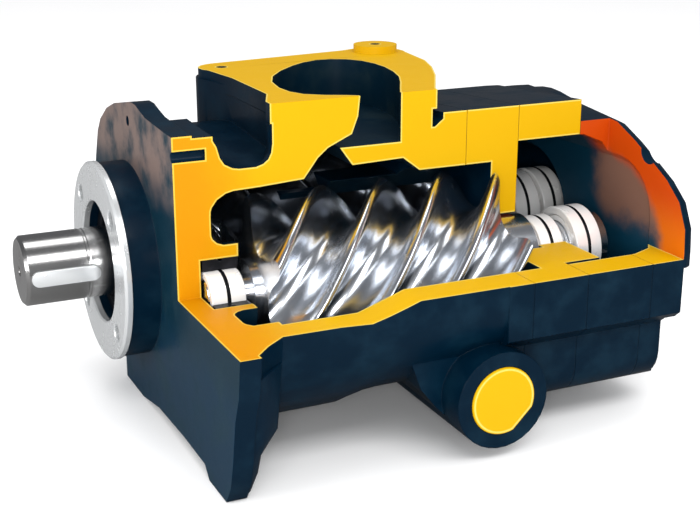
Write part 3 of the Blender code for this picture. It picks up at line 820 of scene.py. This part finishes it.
@dataclass
class RotorPair:
    """Two meshing helical rotors and their shafts."""

    male_lobes: int = 4
    female_flutes: int = 6
    male_tip: float = 81.0
    male_root: float = 46.0
    female_tip: float = 80.0
    fullness: float = 0.8
    gap: float = 2.0
    start: float = 97.0
    end: float = 318.0
    male_wrap: float = math.radians(347)
    points: int = 288
    stations: int = 134
    sweep_angles: int = 11520
    sweep_turns: int = 1201
    bins_per_point: int = 4
    smoothing: int = 24

    def male_radii(self, angles: np.ndarray) -> np.ndarray:
        """Return the male radius at angles from a lobe's crest."""
        wave = 0.5 + 0.5 * np.cos(self.male_lobes * angles)
        return self.male_root + (self.male_tip - self.male_root) * wave**self.fullness

    def female_radii(self) -> np.ndarray:
        """Return the female radii: a disc less what the turning male sweeps."""
        fine = np.linspace(0, math.tau, self.sweep_angles, endpoint=False)
        reach = self.male_radii(fine) + self.gap
        pitch = math.tau / self.female_flutes
        bins = self.points // self.female_flutes * self.bins_per_point
        best = np.full(bins, self.female_tip)
        half = math.pi / self.male_lobes
        for turn in np.linspace(-half, half, self.sweep_turns):
            across = CENTRES + reach * np.cos(fine + turn)
            up = reach * np.sin(fine + turn)
            radius = np.hypot(across, up)
            angle = np.arctan2(up, across) + turn * self.male_lobes / self.female_flutes
            close = radius < self.female_tip
            place = (angle[close] % pitch / pitch * bins).astype(int) % bins
            np.minimum.at(best, place, radius[close])
        even = best
        for _ in range(self.smoothing):
            even = (np.roll(even, 1) + np.roll(even, -1) + even) / 3
        even = even - (even - best).max()
        angles = np.arange(self.points) * math.tau / self.points
        middles = (np.arange(bins) + 0.5) * pitch / bins
        return np.interp(angles % pitch, middles, even, period=pitch)

    def helix(self, name: str, radii: np.ndarray, first: float, wrap: float, y: float) -> Piece:
        """Sweep a cross-section along the shaft while it turns.

        Args:
            name: The piece's name.
            radii: The cross-section's radii at equal angles.
            first: The first angle.
            wrap: The whole turn from end to end.
            y: The axis's distance across.

        Returns:
            The closed rotor body.
        """
        angles = first + np.arange(len(radii)) * math.tau / len(radii)
        corners = [(self.start, r * math.cos(a), r * math.sin(a)) for r, a in zip(radii, angles)]
        piece = Bench.loop(name, corners, False)
        bpy.ops.object.mode_set(mode="OBJECT")
        steps = {"steps": self.stations, "render_steps": self.stations}
        offset = (self.end - self.start) * MM
        Bench.apply(piece, "SCREW", axis="X", angle=wrap, screw_offset=offset, **steps)
        Bench.edit(piece)
        bpy.ops.mesh.select_all(action="DESELECT")
        bpy.ops.mesh.select_non_manifold()
        bpy.ops.mesh.fill_holes(sides=0)
        Bench.close(piece)
        Bench.pick(piece)
        bpy.ops.transform.translate(value=(0.0, y * MM, 0.0))
        bpy.ops.object.transform_apply(location=True)
        return piece

    def male_shaft(self) -> Piece:
        """Return the drive shaft with its chamfered end and key seat."""
        profile = [
            (-60, 0), (-60, 27.4), (-57.4, 30), (-8, 30), (-7.4, 29.4), (-5.6, 29.4), (-5, 30),
            (90.5, 30), (90.5, 40), (99, 40), (105, 30), (316, 28), (404, 28), (404.8, 24),
            (462, 24), (462.4, 20), (471.4, 20), (473, 18.5), (473, 0),
        ]
        shaft = Bench.lathe("male_shaft", profile)
        seat = slot_outline(-49, -5, 7, 12)
        Bench.cut(shaft, Bench.prism("key_cutter", seat, Axis.Y, -40, -26))
        centre = [(-62, 0), (-62, 6.5), (-59.5, 4.0), (-52, 3.6), (-50, 0)]
        Bench.cut(shaft, Bench.lathe("centre_drill", centre, steps=32))
        return Bench.bevel(shaft, 0.35, 1, 50)

    def female_shaft(self) -> Piece:
        """Return the follower's shaft."""
        profile = [
            (58.5, 0), (58.5, 12.8), (59.8, 14), (93, 14), (93, 26), (99, 26), (105, 20), (312, 20),
            (316, 34), (350.8, 34), (352, 32.8), (352, 22), (416, 22), (416, 16), (429.6, 16),
            (431, 14.6), (431, 0),
        ]
        return Bench.lathe("female_shaft", profile, (-CENTRES, 0))

    def build(self) -> None:
        """Build both rotors, their shafts and the key."""
        angles = np.arange(self.points) * math.tau / self.points
        male = self.helix("male_lobes", self.male_radii(angles), math.pi, self.male_wrap, 0.0)
        wrap = -self.male_wrap * self.male_lobes / self.female_flutes
        female = self.helix("female_flutes", self.female_radii(), 0.0, wrap, -CENTRES)
        for piece, body, finish, node in (
            (male, Body.MALE, Palette.rotor_male_shaded, "male_rotor"),
            (self.male_shaft(), Body.MALE, Palette.turned, "male_rotor"),
            (female, Body.FEMALE, Palette.rotor_female, "female_rotor"),
            (self.female_shaft(), Body.FEMALE, Palette.rotor_female, "female_rotor"),
        ):
            Bench.complete(piece, [finish], (body, Slot.POLISHED, node), angle=40)
        outline = slot_outline(-49.4, -4.6, 6.6, 10)
        key = Bench.bevel(Bench.prism("shaft_key", outline, Axis.Y, -31.5, -26.3), 0.5, 2, 50)
        Bench.complete(key, [Palette.ring], (Body.MALE, Slot.MACHINED, "drive_key"))


@dataclass
class Castings:
    """The four castings, with their cut faces painted."""

    section_y: float = -CENTRES
    rim_z: Point = (-0.4, 20.7)
    line: float = 1.2
    seams: tuple[float, ...] = (294.65, 345.65, 409.15)
    tolerance: float = 0.4
    flange_x: float = 37.6
    barrel_x: Point = (60.0, 296.0)
    bore: float = 84.5
    chamber_x: Point = (142.0, 284.0)
    chamber_y: Point = (-134.0, 55.0)
    inlet_z: float = 149.0
    pad_z: float = 150.6
    pad_x: float = 280.0
    seat: float = 38.0
    seat_z: float = -8.0
    case_x: Point = (346.0, 409.0)
    case_y: float = -60.0
    case_z: float = -20.0
    dish_x: float = 412.0
    dish_z: float = 5.0

    def on_section(self, place: Vector, normal: Vector) -> bool:
        """Tell whether a face lies on the upright cut."""
        return normal.y < -0.98 and abs(place.y - self.section_y) < self.tolerance

    def on_rim(self, place: Vector, normal: Vector) -> bool:
        """Tell whether a face lies on the level cut."""
        nearer = place.y < self.section_y + self.tolerance
        return normal.z > 0.6 and within(place.z, self.rim_z) and nearer

    def housing_rule(self, centre: Vector, normal: Vector) -> Skin:
        """Pick the finish of a housing face; the extra one is the flange's."""
        x, y, z = place = DATUM.drawing(centre)
        if self.on_section(place, normal) or self.on_rim(place, normal):
            return Skin.EDGE
        if z > self.inlet_z and (normal.z > 0.98 or z > self.pad_z and x > self.pad_x):
            return Skin.EDGE
        in_bore = min(math.hypot(y, z), math.hypot(y + CENTRES, z)) < self.bore
        in_chamber = within(x, self.chamber_x) and within(y, self.chamber_y) and z > self.bore
        if within(x, self.barrel_x) and (in_bore or in_chamber):
            return Skin.INNER
        on_flange = normal.x < -0.9 and abs(x - self.flange_x) < 0.2
        return Skin.EXTRA if on_flange else Skin.BODY

    def plate_rule(self, centre: Vector, normal: Vector) -> Skin:
        """Pick the finish of a plate or case face: inner in the seats, extra (lightened, painted
        light) round them.
        """
        x, y, z = place = DATUM.drawing(centre)
        if self.on_section(place, normal) or self.on_rim(place, normal):
            return Skin.EDGE
        if abs(normal.x) >= 0.5:
            return Skin.BODY
        if x > self.barrel_x[1] and z > self.seat_z and math.hypot(y + CENTRES, z) < self.seat:
            return Skin.INNER
        inward = normal.y * (y - self.case_y) + normal.z * z < 0
        in_case = inward and within(x, self.case_x) and z > self.case_z
        return Skin.EXTRA if in_case else Skin.BODY

    def cover_rule(self, centre: Vector, normal: Vector) -> Skin:
        """Pick the finish of an end cover face; the inner one is the dish's."""
        place = DATUM.drawing(centre)
        if self.on_rim(place, normal):
            return Skin.EDGE
        facing = normal.x < -0.15 and place.x > self.dish_x and place.z > self.dish_z
        return Skin.INNER if facing or self.on_section(place, normal) else Skin.BODY

    def clear_seams(self, piece: Piece) -> None:
        """Leave the pale line off where two castings meet, so that the seam reads dark.

        Args:
            piece: The casting, with its lines drawn.
        """
        for face in piece.data.polygons:
            x = DATUM.drawing(face.center).x
            if face.material_index == Skin.EDGE and any(
                abs(x - seam) < self.line for seam in self.seams
            ):
                face.material_index = int(Skin.SECTION)

    def build(self) -> None:
        """Build the four castings and the bolts that hold the cover."""
        p = Palette
        for node, finishes, rule in (
            ("rotor_housing", (p.body, p.edge, p.inside, p.section, p.flange), self.housing_rule),
            ("discharge_end_plate", (p.body, p.edge, p.rust, p.section, p.cavity_painted_light), self.plate_rule),
            ("bearing_case", (p.body, p.edge, p.rust, p.section, p.cavity_painted_light), self.plate_rule),
            ("end_cover", (p.body, p.edge, p.cover, p.section), self.cover_rule),
        ):
            piece = Bench.copy_of(node, f"{node}_cast")
            Bench.dress(piece, finishes, rule)
            # the pale border left round the cut faces is painted highlight on their edges
            Bench.outline_faces(piece, Skin.EDGE, Skin.SECTION, self.line)
            self.clear_seams(piece)
            Bench.smooth(piece)
            Bench.hand_over(piece, Body.HOUSING, Slot.BODY, node)
        CoverBolts().build()


@dataclass
class CoverBolts:
    """The hexagon bolts with washers on the back of the end cover."""

    face: float = 452.0
    washer: float = 10.8
    flat: float = 9.6
    places: tuple[Point, ...] = (
        (-104, 91), (-158, 76), (-207, 38), (-206, -12), (-178, -70), (-130, -77),
    )

    def first(self) -> Piece:
        """Return the bolt at the first place."""
        start, seat = self.face - 1.0, self.face + 1.8
        washer = [
            (start, 0), (start, self.washer), (seat - 0.4, self.washer),
            (seat, self.washer - 0.4), (seat, 0),
        ]
        bolt = Bench.lathe("cover_bolt", washer, self.places[0], 40)
        low, top = seat - 1, seat + 7.5
        outline = [
            (low, 0), (low, self.flat), (top - 1.4, self.flat), (top, self.flat - 1.9), (top, 0),
        ]
        head = Bench.lathe("head", outline, self.places[0], 6)
        return Bench.cut(bolt, Bench.bevel(head, 0.3, 1, 50), "UNION")

    def build(self) -> None:
        """Build one bolt and copy it to the other places."""
        bolt = self.first()
        y, z = self.places[0]
        bolts = [bolt] + [Bench.twin(bolt, (0.0, v - y, w - z)) for v, w in self.places[1:]]
        for item in bolts:
            Bench.complete(item, [Palette.turned], (Body.HOUSING, Slot.MACHINED))


@dataclass
class NoseEnd:
    """The steel nose ring with its seal carrier, and the blank of the discharge boss."""

    ring_outer: float = 86.0
    ring_inner: float = 52.4
    face: float = 7.0
    back: float = 13.0
    bolt_circle: float = 69.5
    hole: float = 8.0
    chamfer: float = 0.9
    blank_radius: float = 28.2
    blank_line: float = 1.6
    boss_x: float = 262.0
    boss_z: float = -77.0
    boss_face: float = -253.0

    def ring(self) -> Piece:
        """Return the ring with four holes, chamfered at the front."""
        profile = [
            (self.face, self.ring_inner + 1.2), (self.face, self.ring_outer - 2.0),
            (self.face + 2.0, self.ring_outer), (self.back, self.ring_outer),
            (self.back, self.ring_inner), (self.face + 1.2, self.ring_inner),
        ]
        ring = Bench.lathe("steel_nose_ring", profile, steps=192)
        for index in range(4):
            angle = math.radians(45 + 90 * index)
            place = (self.bolt_circle * math.cos(angle), self.bolt_circle * math.sin(angle))
            r, wide = self.hole, self.hole + self.chamfer
            drill = [
                (0, 0), (0, wide), (self.face, wide), (self.face + self.chamfer, r), (20, r),
                (20, 0),
            ]
            Bench.cut(ring, Bench.lathe("drill", drill, place, 40))
        return ring

    def carrier(self) -> Piece:
        """Return the seal carrier inside the ring."""
        profile = [
            (20, 42.3), (20, 51.3), (20.8, 52.1), (37, 52.1), (37, 50), (57.5, 50), (57.5, 41.5),
            (20.8, 41.5),
        ]
        return Bench.lathe("shaft_seal_carrier", profile)

    def sleeve(self) -> Piece:
        """Return the wear sleeve on the shaft."""
        profile = [(24, 30.3), (24, 35.2), (24.8, 36), (57.5, 36), (57.5, 30.3)]
        return Bench.lathe("seal_wear_sleeve", profile)

    def blank(self) -> Piece:
        """Return the disc that closes the discharge, one side of it flat."""
        outline = arc((self.boss_x, self.boss_z), self.blank_radius, -20, 290, 72)
        front, back = self.boss_face - 1.5, self.boss_face + 7.7
        disc = Bench.prism("port_blank", outline, Axis.Y, front, back)
        return Bench.bevel(disc, 1.0, 3, 40)

    def build(self) -> None:
        """Build the ring, the seal parts and the blank."""
        p = Palette
        for piece, finish, owner in (
            (self.ring(), p.ring, (Body.HOUSING, Slot.POLISHED, "nose_ring")),
            (self.carrier(), p.seal, (Body.HOUSING, Slot.SEAL, "seal_carrier")),
            (self.sleeve(), p.turned, (Body.MALE, Slot.MACHINED, "seal_sleeve")),
        ):
            Bench.complete(piece, [finish], owner)
        blank = self.blank()
        Bench.move_to_datum(blank)
        Bench.dress(blank, [p.section, p.edge], lambda centre, normal: int(normal.y < -0.98))
        # the pale border round the disc's face is painted highlight on its edge
        Bench.outline_faces(blank, 1, 0, self.blank_line)
        Bench.smooth(blank)
        Bench.hand_over(blank, Body.HOUSING, Slot.SECTION, "discharge_port_blank")


@dataclass
class ShaftPart:
    """A round part on one of the two shafts."""

    node: str
    body: Body
    bore: float

    @property
    def centre(self) -> Point:
        """Return the shaft axis's y and z."""
        return (-CENTRES if self.body is Body.FEMALE else 0.0, 0.0)


@dataclass
class Bearing(ShaftPart):
    """One bearing: an outer ring that stays and an inner ring that turns."""

    track: float
    outer_track: float
    outside: float
    low: float
    high: float
    corner: float = 0.9
    groove_width: float = 3.2
    groove_depth: float = 1.8

    def ring(self, name: str, inner: float, outer: float, low: float, high: float) -> Piece:
        """Make one ring with rounded corners and a groove round its outside.

        Args:
            name: The ring's name.
            inner: Its inside radius.
            outer: Its outside radius.
            low: Where it starts along the shaft.
            high: Where it ends.

        Returns:
            The closed ring.
        """
        c = self.corner
        middle = (low + high) / 2
        deep = outer - self.groove_depth
        half = self.groove_width / 2
        profile = [
            (low, inner + c), (low, outer - c), (low + c, outer), (middle - half, outer),
            (middle - half, deep), (middle + half, deep), (middle + half, outer),
            (high - c, outer), (high, outer - c), (high, inner + c), (high - c, inner),
            (low + c, inner),
        ]
        return Bench.lathe(name, profile, self.centre)

    def shade(self, centre: Vector, normal: Vector) -> int:
        """Pick the finish of a ring's face: 0 bright, 1 black in the groove as painted shade."""
        x, y, z = DATUM.drawing(centre)
        near = abs(x - (self.low + self.high) / 2) < self.groove_width / 2 + 0.05
        radius = math.hypot(y - self.centre[0], z)
        inside = min(abs(radius - self.bore), abs(radius - self.outer_track)) < 0.2
        return int(near and not inside)

    def build(self) -> None:
        """Build both rings."""
        finish = Palette.race_female_lit if self.body is Body.FEMALE else Palette.race_male_lit
        outer_finish = finish
        outer = self.ring(
            f"{self.node}_race", self.outer_track, self.outside, self.low, self.high
        )
        if self.node == "female_drive_bearing":
            outer_finish = Palette.race_dark
            box = [(-220, 0), (-CENTRES, 0), (-CENTRES, 60), (-220, 60)]
            Bench.cut(outer, Bench.prism("race_window", box, Axis.X, self.low - 5, self.high + 5))
        inner = self.ring(
            f"{self.node}_cone", self.bore, self.track, self.low + 0.5, self.high - 0.5
        )
        for piece, body, part, clean in (
            (outer, Body.HOUSING, "outer", outer_finish),
            (inner, self.body, "inner", finish),
        ):
            owner = (body, Slot.POLISHED, f"{self.node}_{part}")
            # the groove faces take the seal's black as painted shade
            Bench.complete(piece, [clean, Palette.seal], owner, self.shade)


@dataclass
class LockNut(ShaftPart):
    """A round nut with four spanner slots."""

    outside: float
    low: float
    high: float
    front_chamfer: float = 1.2
    back_chamfer: float = 2.0
    slot: float = 3.0

    def build(self) -> None:
        """Build the nut."""
        r, front, back = self.outside, self.front_chamfer, self.back_chamfer
        profile = [
            (self.low, self.bore), (self.low, r - front), (self.low + front, r),
            (self.high - back, r), (self.high, r - back), (self.high, self.bore),
        ]
        nut = Bench.lathe(f"{self.node}_ring", profile, self.centre, 96)
        h = self.slot
        for index in range(4):
            angle = math.pi / 2 * index
            u = self.centre[0] + r * math.cos(angle)
            v = r * math.sin(angle)
            slot = [(u - h, v - h), (u + h, v - h), (u + h, v + h), (u - h, v + h)]
            Bench.cut(nut, Bench.prism("slot", slot, Axis.X, self.low - 3, self.high + 3))
        Bench.complete(nut, [Palette.turned], (self.body, Slot.MACHINED, self.node))


@dataclass
class Studio:
    """The floor, the light and the camera."""

    eye: Triple = (-246.8, -1057.6, 341.7)
    azimuth: float = 25.0
    elevation: float = 18.0
    lens: float = 66.857
    fill: Colour = (1.02, 1.02, 1.03)
    mirrored: Colour = (0.16, 0.163, 0.17)
    backdrop: Colour = (1.0, 1.0, 1.0)
    floor_low: Colour = (0.96, 0.96, 0.96)
    floor_high: Colour = (0.98, 0.98, 0.98)
    floor_mirrored: Colour = (0.2, 0.2, 0.2)
    floor_size: float = 14.0
    floor_z: float = -0.0005

    def camera(self) -> None:
        """Place the camera at the photograph's view."""
        data = bpy.data.cameras.new("view")
        data.lens = self.lens
        data.sensor_width = 36.0
        data.clip_end = 50.0
        item = bpy.data.objects.new("view", data)
        item.location = Vector(self.eye) * MM + DATUM.offset()
        tip, turn = math.radians(90 - self.elevation), math.radians(-self.azimuth)
        item.rotation_euler = (tip, 0.0, turn)
        bpy.context.scene.collection.objects.link(item)
        bpy.context.scene.camera = item

    def floor(self) -> None:
        """Lay a wide pale floor, darker where steel and gloss mirror it."""
        Bench.deselect()
        bpy.ops.mesh.primitive_plane_add(size=self.floor_size, location=(0.0, 0.0, self.floor_z))
        floor = bpy.context.object
        floor.name = "studio_floor"
        graph = Graph("pale_floor")
        cloud = graph.noise(900.0, 2.0).ramp(0.3, 0.7)
        pale = graph.blend(cloud, self.floor_low, self.floor_high)
        mirrored = graph.node("ShaderNodeLightPath", {}, {}, "Is Glossy Ray")
        graph.set(
            {
                "Base Color": graph.blend(mirrored, pale, self.floor_mirrored),
                "Roughness": 0.7,
                "Specular IOR Level": 0.2,
            }
        )
        floor.data.materials.append(graph.material)

    def lamp(self, name: str, place: Triple, size: Point, watts: float, aim: Vector) -> None:
        """Hang a soft box.

        Args:
            name: The lamp's name.
            place: Where it hangs, in metres.
            size: Its width and height.
            watts: Its power.
            aim: What it points at.
        """
        data = bpy.data.lights.new(name, "AREA")
        data.shape = "RECTANGLE"
        data.size, data.size_y = size
        data.energy = watts
        item = bpy.data.objects.new(name, data)
        item.location = place
        item.rotation_euler = (aim - Vector(place)).to_track_quat("-Z", "Y").to_euler()
        bpy.context.scene.collection.objects.link(item)

    def sky(self) -> None:
        """Light the room evenly: white behind the machine, dark where steel and gloss mirror it."""
        world = bpy.data.worlds.new("studio")
        bpy.context.scene.world = world
        world.use_nodes = True
        tree = world.node_tree
        path = tree.nodes.new("ShaderNodeLightPath")
        last = None
        for ray, colour in (("Is Glossy Ray", self.mirrored), ("Is Camera Ray", self.backdrop)):
            mix = tree.nodes.new("ShaderNodeMix")
            mix.data_type = "RGBA"
            mix.inputs[6].default_value = (*self.fill, 1.0)
            mix.inputs[7].default_value = (*colour, 1.0)
            tree.links.new(path.outputs[ray], mix.inputs[0])
            if last is not None:
                tree.links.new(last.outputs[2], mix.inputs[6])
            last = mix
        tree.links.new(last.outputs[2], tree.nodes["Background"].inputs["Color"])

    def build(self) -> None:
        """Set the whole studio up."""
        self.camera()
        self.floor()
        self.sky()
        middle = Vector((0.0, 0.0, 0.14))
        rotors = Vector((0.1, 0.0, 0.18))
        self.lamp("key", (0.0, -1.5, 1.9), (2.3, 0.8), 28.0, middle)
        self.lamp("left_box", (-2.1, -0.4, 0.7), (0.7, 0.9), 14.0, middle)
        self.lamp("top_box", (0.2, 0.5, 2.0), (1.6, 0.7), 10.0, middle)
        self.lamp("front_box", (-0.52, -1.12, 0.44), (0.3, 0.3), 6.0, rotors)
        view = bpy.context.scene.view_settings
        view.view_transform = "Standard"
        view.look = "None"


def main() -> None:
    """Load the frame, build every sub-assembly and set up the studio."""
    logging.basicConfig(level=logging.INFO, format="%(name)s %(message)s")
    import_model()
    Castings().build()
    RotorPair().build()
    NoseEnd().build()
    male, female = Body.MALE, Body.FEMALE
    for part in (
        Bearing("male_drive_bearing", male, 30.3, 40.4, 41.0, 50.0, 60.0, 89.0),
        Bearing("female_drive_bearing", female, 14.3, 20.4, 21.0, 30.0, 58.5, 88.0),
        Bearing("female_discharge_bearing_1", female, 22.3, 25.4, 26.0, 30.0, 356.0, 379.0),
        Bearing("female_discharge_bearing_2", female, 22.3, 27.4, 28.0, 35.0, 389.0, 415.0),
        Bearing("male_discharge_bearing_1", male, 24.3, 29.4, 30.0, 37.0, 406.0, 433.0),
        Bearing("male_discharge_bearing_2", male, 24.3, 29.4, 30.0, 37.0, 437.0, 461.5),
        LockNut("male_lock_nut", male, 20.3, 33.0, 462.6, 471.0),
        LockNut("female_lock_nut", female, 16.3, 28.0, 416.6, 428.0),
    ):
        part.build()
    Studio().build()


if __name__ == "__main__":
    main()
